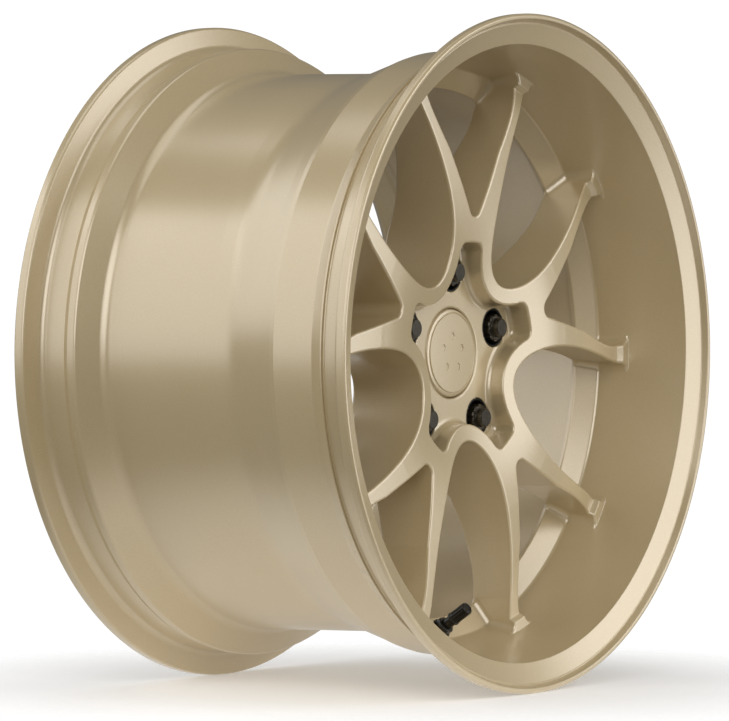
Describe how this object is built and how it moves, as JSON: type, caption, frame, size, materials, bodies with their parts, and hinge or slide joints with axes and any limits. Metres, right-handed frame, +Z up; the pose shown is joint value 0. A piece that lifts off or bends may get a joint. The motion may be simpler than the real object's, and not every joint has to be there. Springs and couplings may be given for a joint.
{
  "type": "forged racing wheel",
  "caption": "Wide one-piece forged racing wheel rim with forked Y spokes, deep stepped lip, pull-off centre cap, unscrewing lug nuts and tyre valve.",
  "frame": {"origin": "centre of the wheel on its spin axis, midway between the two flange faces", "axes": "+Y along the spin axis towards the car, -Y the street side, +Z up through the first spoke and its lug hole, valve at the bottom"},
  "size_m": [0.4966, 0.2923, 0.4966],
  "materials": {
    "rim_paint": "champagne beige satin paint",
    "cap_paint": "champagne beige satin paint",
    "seat_black": "blackened steel",
    "nut_black": "black coated steel, semi gloss",
    "clip_plastic": "black nylon",
    "spring_steel": "bright spring steel",
    "seal_rubber": "black rubber",
    "valve_black": "black anodised aluminium",
    "core_brass": "brass"
  },
  "bodies": {
    "wheel": {"outer_lip": "rim_paint", "barrel_well": "rim_paint", "inner_lip": "rim_paint", "hub_centre": "rim_paint", "y_spoke_1": "rim_paint", "y_spoke_2": "rim_paint", "y_spoke_3": "rim_paint", "y_spoke_4": "rim_paint", "y_spoke_5": "rim_paint", "lug_seat_1": "seat_black", "lug_seat_2": "seat_black", "lug_seat_3": "seat_black", "lug_seat_4": "seat_black", "lug_seat_5": "seat_black", "valve_stem": "valve_black", "valve_grommet": "seal_rubber", "valve_washer": "valve_black", "valve_nut": "valve_black", "core_body": "core_brass", "core_spring": "spring_steel", "core_seal": "seal_rubber"},
    "centre_cap": {"cap_face": "cap_paint", "cap_clip": "clip_plastic", "cap_spring": "spring_steel", "cap_seal": "seal_rubber"},
    "nut_1": {"lug_nut_1": "nut_black"},
    "nut_2": {"lug_nut_2": "nut_black"},
    "nut_3": {"lug_nut_3": "nut_black"},
    "nut_4": {"lug_nut_4": "nut_black"},
    "nut_5": {"lug_nut_5": "nut_black"},
    "valve_cap": {"dust_cap": "valve_black", "dust_cap_seal": "seal_rubber"},
    "valve_pin": {"core_pin": "core_brass"}
  },
  "joints": [
    {"name": "cap_pull", "type": "slide", "parent": "wheel", "child": "centre_cap", "axis": [0, -1, 0], "range_m": [0, 0.045]},
    {"name": "nut_1_unscrew", "type": "slide", "parent": "wheel", "child": "nut_1", "axis": [0, -1, 0], "range_m": [0, 0.045]},
    {"name": "nut_2_unscrew", "type": "slide", "parent": "wheel", "child": "nut_2", "axis": [0, -1, 0], "range_m": [0, 0.045]},
    {"name": "nut_3_unscrew", "type": "slide", "parent": "wheel", "child": "nut_3", "axis": [0, -1, 0], "range_m": [0, 0.045]},
    {"name": "nut_4_unscrew", "type": "slide", "parent": "wheel", "child": "nut_4", "axis": [0, -1, 0], "range_m": [0, 0.045]},
    {"name": "nut_5_unscrew", "type": "slide", "parent": "wheel", "child": "nut_5", "axis": [0, -1, 0], "range_m": [0, 0.045]},
    {"name": "dust_cap_unscrew", "type": "slide", "parent": "wheel", "child": "valve_cap", "axis": [0, -0.8192, 0.5736], "range_m": [0, 0.02]},
    {"name": "valve_pin_press", "type": "slide", "parent": "wheel", "child": "valve_pin", "axis": [0, 0.8192, -0.5736], "range_m": [0, 0.0014], "stiffness_N_per_m": 400, "springref_m": -0.002}
  ]
}
